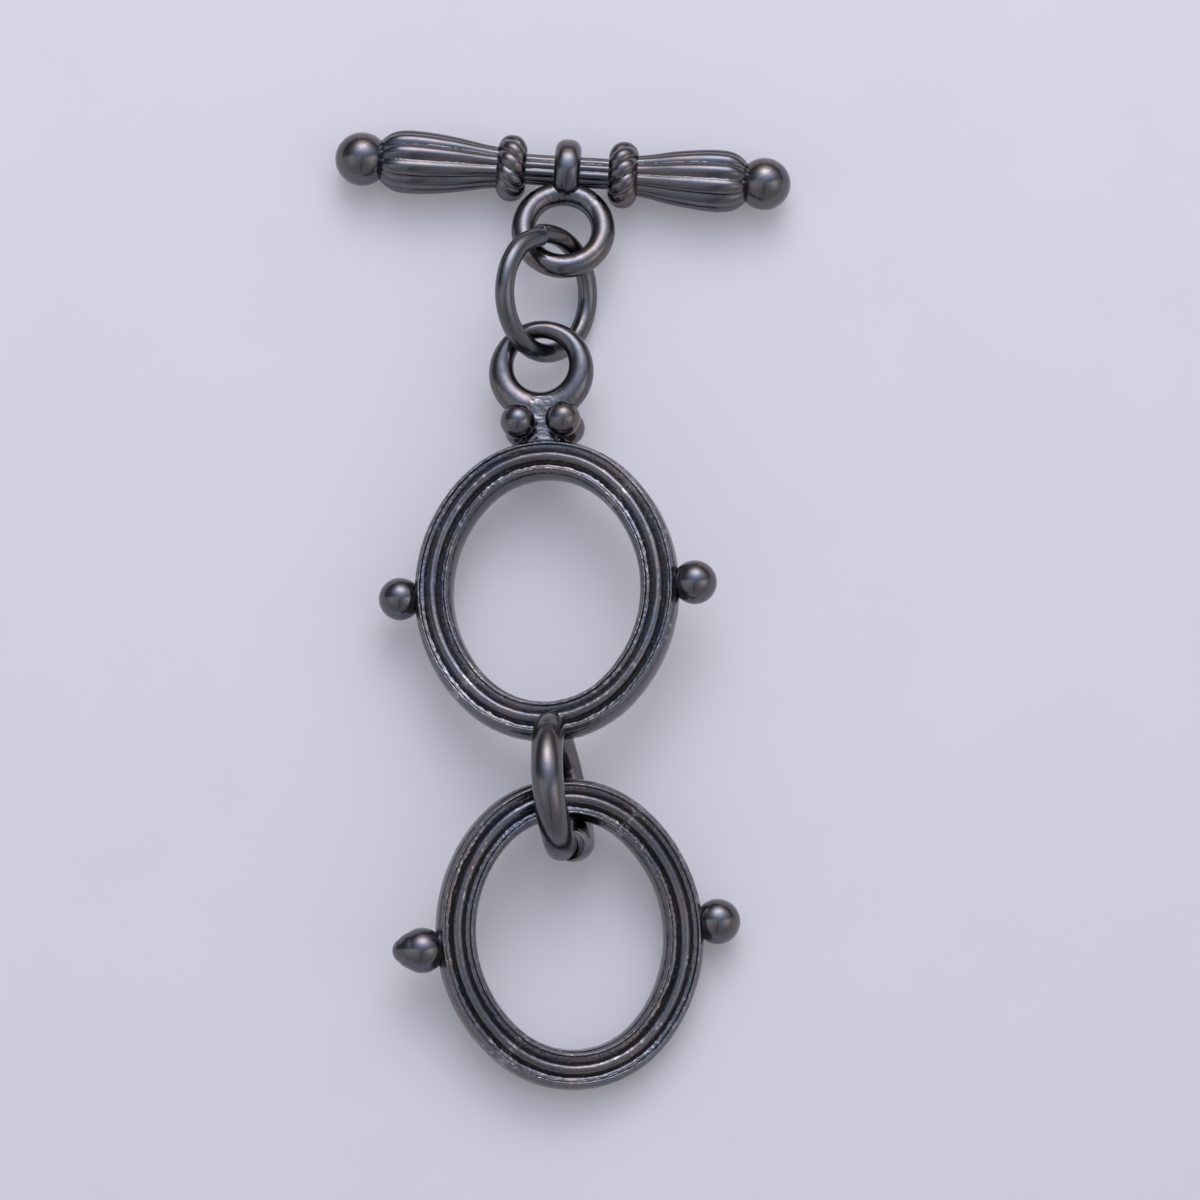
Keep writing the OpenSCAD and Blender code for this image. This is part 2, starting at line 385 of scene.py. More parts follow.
def bar_eye_shell():
    n, m = 200, 44
    f = np.arange(n) * 2 * np.pi / n
    yc = -3.56 / 2 - 1.11
    path = np.stack([1.78 * np.cos(f), yc + 1.78 * np.sin(f), 0 * f], -1)
    P = tube(path, 0.535, m, True)
    N = grid_normals(P, True)
    near = smooth(-2.3, -1.4, P[..., 1])            # rough cast where it joins the band
    inner = smooth(2.0, 1.5, np.hypot(P[..., 0], P[..., 1] - yc)) * smooth(-3.6, -4.6, P[..., 1])
    h = 0.0035 * noise(P, 0.5, 71) + 0.002 * noise(P, 0.15, 72)
    h = h + (0.015 * near + 0.016 * inner) * fractal(P, 0.12, 73, 2)
    P = P + N * h[..., None]
    return closed_grid(P)


def build_toggle_bar():
    shells = [rod_shell(), ball((-BAR_LEFT, 0, 0), BALL_L - BALL_SKIN, 44, 80, 1), ball((BAR_RIGHT, 0, 0), BALL_R - BALL_SKIN, 44, 80, 2), band_shell(), bar_eye_shell()]
    shells += collar_shells(-COLLAR_AT, -1, 0.611) + collar_shells(COLLAR_AT, 1, -0.611)
    return to_object("toggle_bar_cast", shells, BAR_POS, BAR_TURN)


# ------------------------------------------------------------------ jump ring

def build_jump_ring():
    n, m = 330, 44
    gap = math.radians(1.5) + 2 * 0.045 / 2.66
    a = math.radians(95.5) + gap / 2 + (2 * np.pi - gap) * np.linspace(0, 1, n)
    # the left end stands a little proud of the right one
    left = smooth(34, 0, np.degrees(a) - 95.5)
    right = smooth(-26, 0, np.degrees(a) - 455.5)
    rad = 2.66 - 0.085 * left + 0.02 * right
    path = np.stack([rad * np.cos(a), rad * np.sin(a), 0.12 * left - 0.05 * right], -1)
    P = rounded_ends(path, 0.43, m, 0.045, ripple=0.012)
    N = grid_normals(P, False)
    L = P * np.array([1, 1, 1]) + 0
    th = np.arctan2(P[..., 1], P[..., 0])
    draw = np.stack([th * 0.35, np.hypot(P[..., 0], P[..., 1]) - 2.66, P[..., 2]], -1)
    h = 0.003 * noise(L, 0.7, 81) + 0.0012 * noise(L, 0.13, 82) + 0.0030 * noise(draw, 0.10, 83)
    nicks = smooth(0.72, 0.95, noise(L, 0.22, 84)) * smooth(0.1, 0.5, noise(L, 1.9, 85))
    P = P + N * (h - 0.02 * nicks)[..., None]
    s = closed_grid(P, close_i=False)
    return to_object("jump_ring_wire", [s], (-2.387, 13.396, 2.539), (19.63, 44.13, 16.30))


# ------------------------------------------------------------------ ovals

OVAL_A, OVAL_B = 5.02, 5.95


def oval_line(n):
    """Centre line of the oval with outward normals; the radius of curvature eases between ends and sides."""
    end_r = (OVAL_A - (math.sqrt(2) - 1) * OVAL_B) / (2 - math.sqrt(2))
    side_r = (OVAL_B - (1 - math.sin(math.pi / 4)) * end_r) / math.sin(math.pi / 4)
    M = 7200
    phi = (np.arange(M) + 0.5) * 2 * np.pi / M           # direction of the outward normal
    k = np.abs(((phi / (np.pi / 2)) % 2) - 1)             # 1 towards +-X ... 0 towards +-Y
    mix = smooth(0.5 - 0.11, 0.5 + 0.11, k)
    R = end_r + (side_r - end_r) * mix
    d = 2 * np.pi / M
    x = np.cumsum(-np.sin(phi) * R * d)
    y = np.cumsum(np.cos(phi) * R * d)
    x -= (x.max() + x.min()) / 2
    y -= (y.max() + y.min()) / 2
    x *= OVAL_A / x.max()
    y *= OVAL_B / y.max()
    s = np.concatenate([[0], np.cumsum(np.hypot(np.diff(x), np.diff(y)))])
    per = s[-1] + math.hypot(x[0] - x[-1], y[0] - y[-1])
    t = np.arange(n) * per / n
    X = np.interp(t, np.append(s, per), np.append(x, x[0]))
    Y = np.interp(t, np.append(s, per), np.append(y, y[0]))
    F = np.interp(t, np.append(s, per), np.append(phi, phi[0] + 2 * np.pi))
    return X, Y, F, t, per


def half_profile(hw):
    """Rows of x, z, kind from the widest point of the wall to the top of the middle bead."""
    rows = []
    wr, lz = 1.82, 0.88

    def wall(z):
        return hw - wr + math.sqrt(wr * wr - z * z)
    for z in (0.0, 0.10, 0.20, 0.30, 0.40, 0.48, 0.53, 0.58, 0.63, 0.68, 0.74, 0.80, 0.85):
        # a shallow hollow under the lip
        rows.append((wall(z) - 0.040 * math.exp(-((z - 0.70) / 0.085) ** 2), z, 6 if 0.5 < z < 0.6 else 0))
    xl = wall(lz)
    # lip: a small rounded crest
    for a in (20, 60, 95, 130, 165):
        t = math.radians(a)
        rows.append((xl - 0.062 + 0.060 * math.cos(t), lz + 0.045 * math.sin(t), 1))
    # step down into the channel, then its floor sloping towards the bead
    rows.append((xl - 0.118, lz - 0.055, 2))
    for k in range(7):
        f = k / 6
        x = xl - 0.15 + (0.345 - xl + 0.15) * f
        z = lz - 0.105 + (0.725 - lz + 0.105) * f + 0.012 * math.sin(math.pi * f)
        rows.append((x, z, 3))
    rows.append((0.318, 0.690, 4))
    rows.append((0.290, 0.672, 4))
    rows.append((0.265, 0.690, 4))
    rows.append((0.252, 0.735, 5))
    for a in (0, 12, 24, 36, 48, 60, 72, 81, 90):
        t = math.radians(a)
        rows.append((0.25 * math.cos(t), 0.78 + 0.25 * math.sin(t), 5))
    return np.array(rows)


def oval_shell(w, n, seed, nick=None, patch=None):
    h = half_profile(w / 2)
    k = len(h)
    top = np.vstack([h, h[k - 2::-1] * [-1, 1, 1]])
    under = np.vstack([h[0:1], h[1:-1:2], h[-1:]])           # coarser underneath
    ku = len(under)
    bottom = np.vstack([under[1:], under[ku - 2:0:-1] * [-1, 1, 1]]) * [1, -1, 1]
    prof = np.vstack([top, bottom[::-1]])                      # once round
    # bottom[::-1] runs from the inner wall back to the outer wall under the ring
    px, pz, kind = prof.T
    X, Y, F, t, per = oval_line(n)
    m = len(prof)
    nx, ny = np.cos(F), np.sin(F)
    # slow changes of the moulding along the ring
    ring = np.stack([X, Y, 0 * X], -1)
    slow = noise(ring, 2.2, seed)
    lip_w = noise(ring * 1.0, 0.55, seed + 3)
    side = np.sign(px)
    A = np.stack([np.repeat(X[:, None], m, 1) + nx[:, None] * px[None],
                  np.repeat(Y[:, None], m, 1) + ny[:, None] * px[None],
                  np.repeat(pz[None], n, 0)], -1)
    N = grid_normals(A, True)
    chan = ((kind == 3) | (kind == 2)).astype(float)[None]
    lip = (kind == 1).astype(float)[None]
    groove = (kind == 4).astype(float)[None]
    bead = (kind == 5).astype(float)[None]
    wall = ((kind == 0) | (kind == 6)).astype(float)[None]
    ledge = (kind == 6).astype(float)[None]
    # coordinates that are stretched along the ring, for draw lines
    L = np.stack([np.repeat((t / 2.6)[:, None], m, 1), np.repeat((px * 1.0)[None], n, 0), np.repeat((pz * 1.0)[None], n, 0)], -1)
    h1 = fractal(A, 0.115, seed + 5, 2)
    h2 = noise(A, 0.32, seed + 7)
    lines = noise(L, 0.085, seed + 9)
    H = chan * (0.021 * h1 + 0.010 * h2)
    H = H + lip * (0.017 * h1 + 0.010 * noise(A, 0.2, seed + 12))
    H = H + ledge * (0.006 + 0.012 * h1)
    H = H + groove * (0.008 * h1 + 0.012 * slow[:, None])
    H = H + bead * (0.0055 * lines + 0.0025 * h2 + 0.003 * h1)
    H = H + wall * (0.0065 * lines + 0.004 * h2 + 0.0050 * h1)
    if patch is not None:
        # unpolished stretch of the outer wall
        turn = np.abs((F - patch + np.pi) % (2 * np.pi) - np.pi)
        H = H + wall * (side > 0)[None] * (smooth(0.75, 0.35, turn)[:, None] * 0.012 * h1)
    H = H + 0.006 * slow[:, None] * (chan + lip)
    # small pits on wall and bead
    pits = smooth(0.70, 0.92, noise(A, 0.17, seed + 20)) * smooth(0.15, 0.6, noise(A, 1.6, seed + 22))
    H = H - 0.018 * pits * (wall + 0.6 * bead)
    H = H - 0.015 * (wall + bead) - 0.011 * lip
    if nick is not None:
        d = np.linalg.norm(A - np.array(nick[:3]), axis=2)
        H = H - nick[3] * np.exp(-(d / nick[4]) ** 2)
    A = A + N * H[..., None]
    return closed_grid(A)


UP_POS, UP_TURN = (-2.340, -0.204, 2.935), (-2.5, -7.05, 1.83)
LOW_POS, LOW_TURN = (-1.334, -15.424, 2.068), (8.81, 6.05, 6.01)


def upper_eye_shell():
    n, m = 200, 44
    f = np.arange(n) * 2 * np.pi / n
    ey, off = 10.04, 0.31
    r_in = off * np.sin(f) + np.sqrt(1.245 ** 2 - (off * np.cos(f)) ** 2)
    r_out = np.full(n, 2.345)
    half = (r_out - r_in) / 2
    mid = (r_out + r_in) / 2
    zt = 0.50 + 0.045 * smooth(0.9, 0.0, np.sin(f)) - 0.03 * smooth(-0.5, -1, np.sin(f))
    a = np.arange(m) * 2 * np.pi / m
    rad = mid[:, None] + half[:, None] * np.cos(a)[None]
    z = zt[:, None] * np.sin(a)[None]
    P = np.stack([rad * np.cos(f)[:, None], ey + rad * np.sin(f)[:, None], z], -1)
    N = grid_normals(P, True)
    web = smooth(9.3, 8.3, P[..., 1])
    side = smooth(0.5, 1.6, P[..., 0]) * smooth(9.6, 11.2, P[..., 1]) * smooth(-0.1, 0.4, P[..., 2])
    h = 0.004 * noise(P, 0.5, 91) + 0.002 * noise(P, 0.14, 92) + (0.016 * web + 0.006 * side) * fractal(P, 0.12, 93, 2)
    P = P + N * h[..., None]
    return closed_grid(P)


def web_shell():
    """Plate between oval and eye, rounded edges, grainy."""
    n, m = 74, 92
    ys = np.linspace(6.15, 8.78, n)
    wid = np.interp(ys, [6.15, 6.55, 6.85, 7.2, 7.6, 8.1, 8.45, 8.78], [1.55, 1.40, 1.02, 0.70, 0.62, 0.80, 1.02, 0.95])
    k = np.ones(9) / 9
    wid = np.convolve(np.pad(wid, 4, mode="edge"), k, "valid")
    a = np.arange(m) * 2 * np.pi / m
    e = 2 / 3.6
    cx = np.sign(np.cos(a)) * np.abs(np.cos(a)) ** e
    sz = np.sign(np.sin(a)) * np.abs(np.sin(a)) ** e
    P = np.stack([wid[:, None] * cx[None], np.repeat(ys[:, None], m, 1), 0.50 * np.repeat(sz[None], n, 0)], -1)
    N = grid_normals(P, False)
    N[..., 1] *= 0.3
    h = 0.050 * fractal(P, 0.115, 101, 2) + 0.012 * noise(P, 0.4, 102)
    P = P + N * h[..., None]
    return closed_grid(P, close_i=False)


def loop_shell():
    """Wire from the cut at the bottom over the front to the oval's edge, and on down the back to the cut."""
    top, r = -6.27, 2.66
    a = np.radians(np.concatenate([np.linspace(179.3, 0, 150), np.linspace(0, -179.3, 150)[1:]]))
    down = (1 - np.cos(a)) / 2
    x = 0.10 + 0.055 * down
    x = np.where(a > 0, x + 0.19 * smooth(80, 180, np.degrees(a)), 0.10 + 0.93 * down)
    y = top - 2 * r * down
    z = r * np.sin(a)
    # the back end leans over towards the front one
    s = smooth(-140, -181, np.degrees(a))
    path = np.stack([x - 0.30 * s, y + 0.05 * s, z], -1)
    P = rounded_ends(path[2:-2], 0.70, 40, 0.05, ripple=0.022)
    N = grid_normals(P, False)
    join = smooth(2.1, 1.0, np.abs(P[..., 2])) * smooth(-7.6, -6.9, P[..., 1])
    back_in = smooth(0.3, -1.2, P[..., 2]) * smooth(-9.4, -7.4, P[..., 1])
    h = 0.0035 * noise(P, 0.55, 111) + 0.0018 * noise(P, 0.13, 112) + (0.012 * join + 0.014 * back_in) * fractal(P, 0.14, 113, 2)
    P = P + N * h[..., None]
    return closed_grid(P, close_i=False)


def build_upper():
    shells = [oval_shell(1.76, 520, 200, patch=math.radians(-42)), upper_eye_shell(), web_shell(), loop_shell(),
              ball((-6.55, 0, 0), 1.89, 30, 54, 11), ball((6.57, 0, 0), 1.95, 30, 54, 12)]
    for i, x in enumerate((-1, 1)):
        for j, z in enumerate((-0.8, 0.8)):
            shells.append(ball((x, 7.605, z), 1.574, 28, 48, 13 + 2 * i + j, rough=0.004))
    return to_object("upper_oval_cast", shells, UP_POS, UP_TURN)


def pointed_ball(centre, r, length, tip=0.60, turn=-4.0):
    h = math.asin((r - tip) / (length - tip))
    rows = [(r * math.cos(a), r * math.sin(a)) for a in np.linspace(-math.pi / 2, h, 30)]
    rows += [(tip * math.cos(a), length - tip + tip * math.sin(a)) for a in np.linspace(h, math.pi / 2, 12)]
    rows = np.array(rows)
    # even the spacing on the flank
    d = np.concatenate([[0], np.cumsum(np.hypot(*np.diff(rows, axis=0).T))])
    u = np.linspace(0, d[-1], 46)
    rows = np.stack([np.interp(u, d, rows[:, 0]), np.interp(u, d, rows[:, 1])], -1)
    t = np.clip((rows[:, 1] - r * math.sin(h)) / (length - tip + tip * math.sin(h) - r * math.sin(h)), 0, 1)
    rows[:, 0] += 0.045 * np.sin(np.pi * t)
    rows[0, 0] = rows[-1, 0] = 0
    s = revolve(rows, 64)
    v = s.v
    v = np.stack([-v[:, 2], v[:, 1], v[:, 0]], -1)
    n = v / np.linalg.norm(v, axis=1, keepdims=True)
    neck = smooth(0.45, 0.75, v[:, 0])
    v = v + n * (0.010 * noise(v + 5, 0.7, 121) + 0.002 * noise(v, 0.15, 122) + neck * 0.02 * fractal(v, 0.12, 123, 2))[:, None]
    v = v @ turn_matrix((0, 0, turn)).T
    return Shell(v + np.array(centre), s.q, s.t).outward()


def build_lower():
    shells = [oval_shell(1.81, 600, 300, nick=(-4.75, 2.35, 0.72, 0.10, 0.13), patch=math.radians(-125)), ball((6.58, 0, 0), 2.0, 36, 64, 21),
              pointed_ball((-6.54, -0.157, 0), 1.00, 1.30)]
    return to_object("lower_oval_cast", shells, LOW_POS, LOW_TURN)


# ------------------------------------------------------------------ materials

def node(nt, kind, loc=(0, 0), **inputs):
    n = nt.nodes.new(kind)
    n.location = loc
    for k, v in inputs.items():
        key = k.replace("_", " ")
        if key in n.inputs:
            n.inputs[key].default_value = v
    return n


def math_node(nt, op, a, b=None, clamp=False):
    n = nt.nodes.new("ShaderNodeMath")
    n.operation = op
    n.use_clamp = clamp
    for i, v in enumerate((a, b)):
        if v is None:
            continue
        if hasattr(v, "is_linked") or hasattr(v, "links"):
            nt.links.new(v, n.inputs[i])
        else:
            n.inputs[i].default_value = v
    return n.outputs[0]


def gunmetal(name, tone=(0.148, 0.147, 0.157), rough=0.17, grain=0.5, zone=None, wear=0.0):
    m = bpy.data.materials.new(name)
    m.use_nodes = True
    nt = m.node_tree
    nt.nodes.clear()
    out = nt.nodes.new("ShaderNodeOutputMaterial")
    p = nt.nodes.new("ShaderNodeBsdfPrincipled")
    nt.links.new(p.outputs[0], out.inputs[0])
    p.inputs["Metallic"].default_value = 1.0
    co = nt.nodes.new("ShaderNodeTexCoord")
    mm = nt.nodes.new("ShaderNodeMapping")
    mm.inputs["Scale"].default_value = (1000, 1000, 1000)
    nt.links.new(co.outputs["Object"], mm.inputs[0])
    # colour: slow cool and warm drift of the plating, darker in the pores
    big = node(nt, "ShaderNodeTexNoise", Scale=0.55, Detail=3.0, Roughness=0.55)
    nt.links.new(mm.outputs[0], big.inputs["Vector"])
    ramp = nt.nodes.new("ShaderNodeValToRGB")
    ramp.color_ramp.elements[0].position = 0.30
    ramp.color_ramp.elements[1].position = 0.72
    t = tone
    ramp.color_ramp.elements[0].color = (t[0] * 0.88, t[1] * 0.96, t[2] * 1.07, 1)
    ramp.color_ramp.elements[1].color = (t[0] * 1.16, t[1] * 1.02, t[2] * 0.92, 1)
    nt.links.new(big.outputs[0], ramp.inputs[0])
    fine = node(nt, "ShaderNodeTexNoise", Scale=7.0, Detail=4.0, Roughness=0.6)
    nt.links.new(mm.outputs[0], fine.inputs["Vector"])
    f2 = math_node(nt, "MULTIPLY", fine.outputs[0], 0.5)
    f2 = math_node(nt, "ADD", f2, 0.75)
    mix = nt.nodes.new("ShaderNodeMix")
    mix.data_type = "RGBA"
    mix.blend_type = "MULTIPLY"
    mix.inputs[0].default_value = 1.0
    nt.links.new(ramp.outputs[0], mix.inputs[6])
    comb = nt.nodes.new("ShaderNodeCombineColor")
    for i in range(3):
        nt.links.new(f2, comb.inputs[i])
    nt.links.new(comb.outputs[0], mix.inputs[7])
    if zone is not None:
        # the moulding is left grainy as cast, the balls, eye and loop are polished
        inside = 0.0
        for zx, zy, za, zb, zt in zone:
            zm = nt.nodes.new("ShaderNodeMapping")
            zm.vector_type = "TEXTURE"
            zm.inputs["Location"].default_value = (zx, zy, 0)
            zm.inputs["Rotation"].default_value = (0, 0, zt)
            zm.inputs["Scale"].default_value = (za, zb, 1000000)
            nt.links.new(mm.outputs[0], zm.inputs[0])
            ln = nt.nodes.new("ShaderNodeVectorMath")
            ln.operation = "LENGTH"
            nt.links.new(zm.outputs[0], ln.inputs[0])
            part = math_node(nt, "DIVIDE", math_node(nt, "SUBTRACT", 1.02, ln.outputs["Value"]), 0.03, clamp=True)
            inside = math_node(nt, "MAXIMUM", inside, part)
        wear = inside
    # plating worn bright on sharp crests; painted shade: the colour is darkened down in the corners and creases
    geo = nt.nodes.new("ShaderNodeNewGeometry")
    crest = math_node(nt, "MULTIPLY", math_node(nt, "SUBTRACT", geo.outputs["Pointiness"], 0.53), 11.0, clamp=True)
    corner_shade = math_node(nt, "MULTIPLY", math_node(nt, "SUBTRACT", 0.47, geo.outputs["Pointiness"]), 11.0, clamp=True)
    speck = node(nt, "ShaderNodeTexNoise", Scale=9.0, Detail=2.0, Roughness=0.6)
    nt.links.new(mm.outputs[0], speck.inputs["Vector"])
    worn = math_node(nt, "MULTIPLY", crest, math_node(nt, "MULTIPLY", math_node(nt, "SUBTRACT", speck.outputs[0], 0.36), 4.0, clamp=True), clamp=True)
    wm = nt.nodes.new("ShaderNodeMix")
    wm.data_type = "RGBA"
    nt.links.new(math_node(nt, "MULTIPLY", worn, wear), wm.inputs[0])
    nt.links.new(mix.outputs[2], wm.inputs[6])
    wm.inputs[7].default_value = (0.42, 0.405, 0.40, 1)
    # painted shade: the colour is mixed towards near-black where the surface is hollow
    shade_mix = nt.nodes.new("ShaderNodeMix")
    shade_mix.data_type = "RGBA"
    nt.links.new(math_node(nt, "MULTIPLY", corner_shade, 0.30), shade_mix.inputs[0])
    nt.links.new(wm.outputs[2], shade_mix.inputs[6])
    shade_mix.inputs[7].default_value = (0.035, 0.037, 0.045, 1)
    nt.links.new(shade_mix.outputs[2], p.inputs["Base Color"])
    # roughness: handling haze in patches
    haze = node(nt, "ShaderNodeTexNoise", Scale=1.6, Detail=5.0, Roughness=0.65)
    nt.links.new(mm.outputs[0], haze.inputs["Vector"])
    r = math_node(nt, "MULTIPLY", haze.outputs[0], 0.16)
    r = math_node(nt, "ADD", r, rough - 0.08)
    nt.links.new(r, p.inputs["Roughness"])
    # bump: fine cast grain and hair scratches
    b1 = nt.nodes.new("ShaderNodeBump")
    b1.inputs["Strength"].default_value = 0.25 * grain
    b1.inputs["Distance"].default_value = 0.000012
    g = node(nt, "ShaderNodeTexNoise", Scale=14.0, Detail=3.0, Roughness=0.6)
    nt.links.new(mm.outputs[0], g.inputs["Vector"])
    nt.links.new(g.outputs[0], b1.inputs["Height"])
    sc = nt.nodes.new("ShaderNodeMapping")
    sc.inputs["Scale"].default_value = (0.9, 9.0, 5.0)
    sc.inputs["Rotation"].default_value = (0.4, 0.2, 0.6)
    nt.links.new(mm.outputs[0], sc.inputs[0])
    hair = node(nt, "ShaderNodeTexNoise", Scale=1.3, Detail=6.0, Roughness=0.75)
    nt.links.new(sc.outputs[0], hair.inputs["Vector"])
    b2 = nt.nodes.new("ShaderNodeBump")
    b2.inputs["Strength"].default_value = 0.12
    b2.inputs["Distance"].default_value = 0.00001
    nt.links.new(hair.outputs[0], b2.inputs["Height"])
    nt.links.new(b1.outputs[0], b2.inputs["Normal"])
    nt.links.new(b2.outputs[0], p.inputs["Normal"])
    if zone is not None:
        sand = node(nt, "ShaderNodeTexNoise", Scale=10.0, Detail=3.0, Roughness=0.65)
        nt.links.new(mm.outputs[0], sand.inputs["Vector"])
        b3 = nt.nodes.new("ShaderNodeBump")
        b3.inputs["Distance"].default_value = 0.00004
        nt.links.new(math_node(nt, "MULTIPLY", inside, 0.22), b3.inputs["Strength"])
        nt.links.new(sand.outputs[0], b3.inputs["Height"])
        nt.links.new(b2.outputs[0], b3.inputs["Normal"])
        nt.links.new(b3.outputs[0], p.inputs["Normal"])
    return m


# ------------------------------------------------------------------ build

cast = gunmetal("gunmetal_cast_look", wear=0.3)
wire = gunmetal("gunmetal_wire_look", tone=(0.145, 0.147, 0.156), rough=0.19, grain=0.35)

cast_up = gunmetal("gunmetal_cast_upper_look",
                   zone=[(SHIFT[0] + UP_POS[0], SHIFT[1] + UP_POS[1], 5.90, 6.83, math.radians(UP_TURN[2])),
                         (SHIFT[0] + UP_POS[0] - 0.25, SHIFT[1] + UP_POS[1] + 7.85, 0.80, 0.95, 0.0)])
cast_low = gunmetal("gunmetal_cast_lower_look",
                    zone=[(SHIFT[0] + LOW_POS[0], SHIFT[1] + LOW_POS[1], 5.93, 6.85, math.radians(LOW_TURN[2]))])

pieces = {
    "toggle_bar": (build_toggle_bar(), cast, "gunmetal_cast"),
    "jump_ring": (build_jump_ring(), wire, "gunmetal_wire"),
    "upper_oval": (build_upper(), cast_up, "gunmetal_cast"),
    "lower_oval": (build_lower(), cast_low, "gunmetal_cast"),
}
for name, (ob, mat, slot) in pieces.items():
    me = ob.data
    me.materials.clear()
    me.materials.append(mat)
    me.shade_smooth()
    me.set_sharp_from_angle(angle=math.radians(48))
    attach(ob, "root")
    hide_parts(name)
    print("PIECE", name, "tris", sum(len(p.vertices) - 2 for p in me.polygons))

# floor
fm = bpy.data.meshes.new("floor")
S = 0.6
fm.from_pydata([(-S, -S, 0), (S, -S, 0), (S, S, 0), (-S, S, 0)], [], [(0, 1, 2, 3)])
floor = bpy.data.objects.new("floor", fm)
bpy.context.scene.collection.objects.link(floor)
fmat = bpy.data.materials.new("pale_floor")
fmat.use_nodes = True
nt = fmat.node_tree
p = nt.nodes["Principled BSDF"]
p.inputs["Roughness"].default_value = 0.32
p.inputs["Specular IOR Level"].default_value = 0.5
# painted light: the floor glows faintly, which lifts the shadows cast on it
p.inputs["Emission Color"].default_value = (0.134, 0.132, 0.152, 1)
p.inputs["Emission Strength"].default_value = 1.0
co = nt.nodes.new("ShaderNodeTexCoord")
nz = node(nt, "ShaderNodeTexNoise", Scale=160.0, Detail=4.0)
nt.links.new(co.outputs["Object"], nz.inputs["Vector"])
rp = nt.nodes.new("ShaderNodeValToRGB")
rp.color_ramp.elements[0].position = 0.35
rp.color_ramp.elements[1].position = 0.65
rp.color_ramp.elements[0].color = (0.620, 0.606, 0.632, 1)
rp.color_ramp.elements[1].color = (0.632, 0.618, 0.644, 1)
nt.links.new(nz.outputs[0], rp.inputs[0])
# the light falls off a little towards the near side
sx = nt.nodes.new("ShaderNodeSeparateXYZ")
nt.links.new(co.outputs["Object"], sx.inputs[0])
fall = math_node(nt, "ADD", math_node(nt, "MULTIPLY", math_node(nt, "MULTIPLY", sx.outputs["Y"], 1.0 / 0.028), 0.045), 0.905)
fall = math_node(nt, "MINIMUM", math_node(nt, "MAXIMUM", fall, 0.85), 0.96)
fmix = nt.nodes.new("ShaderNodeVectorMath")
fmix.operation = "SCALE"
nt.links.new(rp.outputs[0], fmix.inputs[0])
nt.links.new(fall, fmix.inputs["Scale"])
nt.links.new(fmix.outputs[0], p.inputs["Base Color"])
# the floor's painted glow follows the same falloff
nt.links.new(fall, p.inputs["Emission Strength"])
fm.materials.append(fmat)

# ------------------------------------------------------------------ light

CAM_TILT = math.radians(12)
c_dir = (0, -math.sin(CAM_TILT), math.cos(CAM_TILT))
u_dir = (0, math.cos(CAM_TILT), math.sin(CAM_TILT))


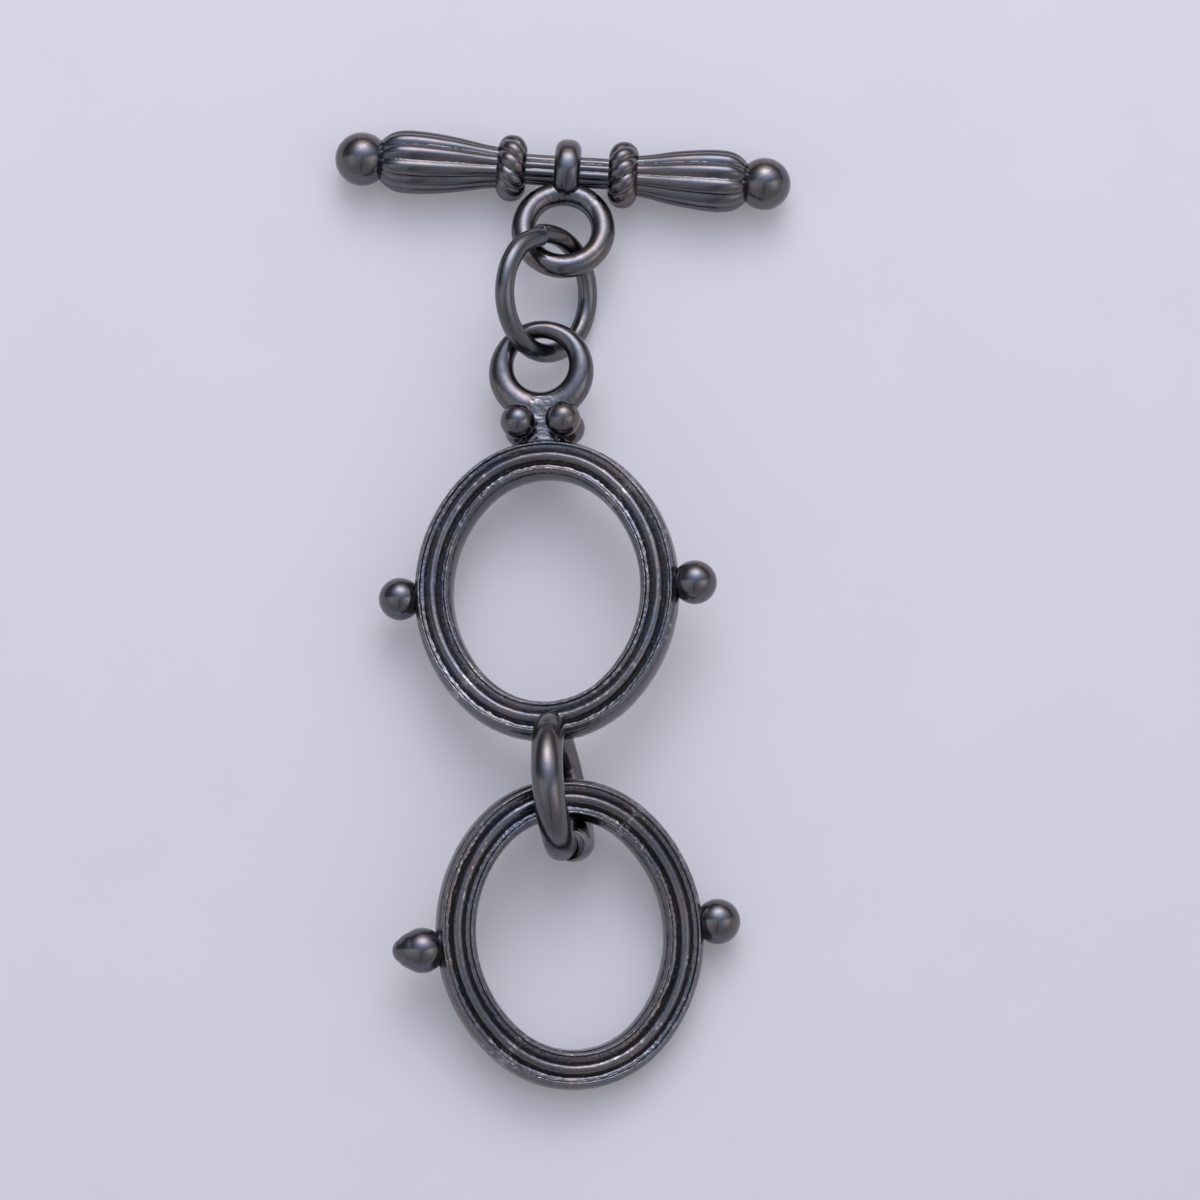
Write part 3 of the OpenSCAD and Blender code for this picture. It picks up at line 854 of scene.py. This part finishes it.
def build_world():
    """Soft studio surround: a soft light above the far side, dark above the camera, grey panels with a gap below it."""
    w = bpy.data.worlds.new("studio")
    bpy.context.scene.world = w
    w.use_nodes = True
    nt = w.node_tree
    nt.nodes.clear()
    out = nt.nodes.new("ShaderNodeOutputWorld")
    bg = nt.nodes.new("ShaderNodeBackground")
    nt.links.new(bg.outputs[0], out.inputs[0])
    tc = nt.nodes.new("ShaderNodeTexCoord")
    d = tc.outputs["Generated"]

    def dot(v):
        n = nt.nodes.new("ShaderNodeVectorMath")
        n.operation = "DOT_PRODUCT"
        nt.links.new(d, n.inputs[0])
        n.inputs[1].default_value = v
        return n.outputs["Value"]

    M = lambda op, a, b=None, clamp=False: math_node(nt, op, a, b, clamp)

    def step(x, lo, hi):
        n = nt.nodes.new("ShaderNodeMapRange")
        n.interpolation_type = "SMOOTHSTEP"
        nt.links.new(x, n.inputs[0])
        n.inputs[1].default_value = lo
        n.inputs[2].default_value = hi
        n.inputs[3].default_value = 0.0
        n.inputs[4].default_value = 1.0
        return n.outputs[0]

    a, b, c = dot((1, 0, 0)), dot(u_dir), dot(c_dir)
    den = M("ADD", c, 1.02)
    px = M("DIVIDE", a, den)
    py = M("DIVIDE", b, den)

    def glow(cx, cy, rx, ry):
        x = M("DIVIDE", M("SUBTRACT", px, cx), rx)
        y = M("DIVIDE", M("SUBTRACT", py, cy), ry)
        return M("POWER", 2.718, M("MULTIPLY", M("ADD", M("MULTIPLY", x, x), M("MULTIPLY", y, y)), -1.0))

    # grey panels round and below the camera with arched tops and a narrow dark gap between them
    side = step(px, -0.02, 0.06)
    edge = M("ADD", M("MULTIPLY", M("SUBTRACT", 1.0, side), 0.10), M("MULTIPLY", side, M("ADD", M("MULTIPLY", px, 0.30), -0.02)))
    low = M("SUBTRACT", 1.0, step(M("SUBTRACT", py, edge), -0.03, 0.05))
    line = M("ABSOLUTE", M("SUBTRACT", px, M("ADD", M("MULTIPLY", py, 0.15), 0.02)))
    gap = M("MULTIPLY", M("SUBTRACT", 1.0, step(line, 0.02, 0.07)), step(py, -0.65, -0.45))
    panel = M("MULTIPLY", low, M("SUBTRACT", 1.0, M("MULTIPLY", gap, 0.72)))
    round_ = M("SQRT", M("ADD", M("MULTIPLY", px, px), M("MULTIPLY", py, py)))
    rim = M("MULTIPLY", step(round_, 0.62, 0.95), M("SUBTRACT", 1.0, step(py, -0.1, 0.5)))
    parts = [
        ((4.1, 3.80, 3.95), glow(0.03, 0.53, 0.23, 0.175)),        # soft light beyond the far side
        ((0.92, 1.08, 1.42), glow(0.04, 0.35, 0.36, 0.26)),       # its cooler lower edge
        ((0.80, 0.66, 0.56), glow(0.05, 0.80, 0.30, 0.22)),       # its warmer upper edge
        ((0.45, 0.38, 0.35), glow(0.45, 0.42, 0.24, 0.24)),
        ((0.30, 0.295, 0.30), panel),
        ((0.38, 0.36, 0.37), M("MULTIPLY", panel, glow(-0.42, 0.0, 0.24, 0.26))),
        ((0.95, 0.84, 0.80), M("MULTIPLY", panel, glow(0.42, 0.03, 0.20, 0.22))),
        ((0.12, 0.12, 0.13), rim)]
    total = None
    for col, f in parts:
        n = nt.nodes.new("ShaderNodeVectorMath")
        n.operation = "SCALE"
        n.inputs[0].default_value = col
        nt.links.new(f, n.inputs["Scale"])
        if total is None:
            total = n.outputs[0]
        else:
            s = nt.nodes.new("ShaderNodeVectorMath")
            s.operation = "ADD"
            nt.links.new(total, s.inputs[0])
            nt.links.new(n.outputs[0], s.inputs[1])
            total = s.outputs[0]
    base = nt.nodes.new("ShaderNodeVectorMath")
    base.operation = "ADD"
    nt.links.new(total, base.inputs[0])
    base.inputs[1].default_value = (0.115, 0.125, 0.15)
    nt.links.new(base.outputs[0], bg.inputs[0])
    bg.inputs[1].default_value = 1.0
    w.cycles.sampling_method = "MANUAL"
    w.cycles.sample_map_resolution = 512


build_world()

# ------------------------------------------------------------------ camera

cam = bpy.data.cameras.new("cam")
cam.lens = 270
cam.sensor_width = 36
cam.clip_start = 0.01
cam.clip_end = 5
co = bpy.data.objects.new("cam", cam)
D = 0.400
co.location = (SHIFT[0] * MM, SHIFT[1] * MM - D * math.sin(CAM_TILT), D * math.cos(CAM_TILT))
co.rotation_euler = (CAM_TILT, 0, 0)
bpy.context.scene.collection.objects.link(co)
bpy.context.scene.camera = co

sc = bpy.context.scene
sc.view_settings.view_transform = "Standard"
sc.view_settings.look = "None"
sc.view_settings.exposure = 0.0
sc.view_settings.gamma = 1.0

bpy.context.view_layer.update()
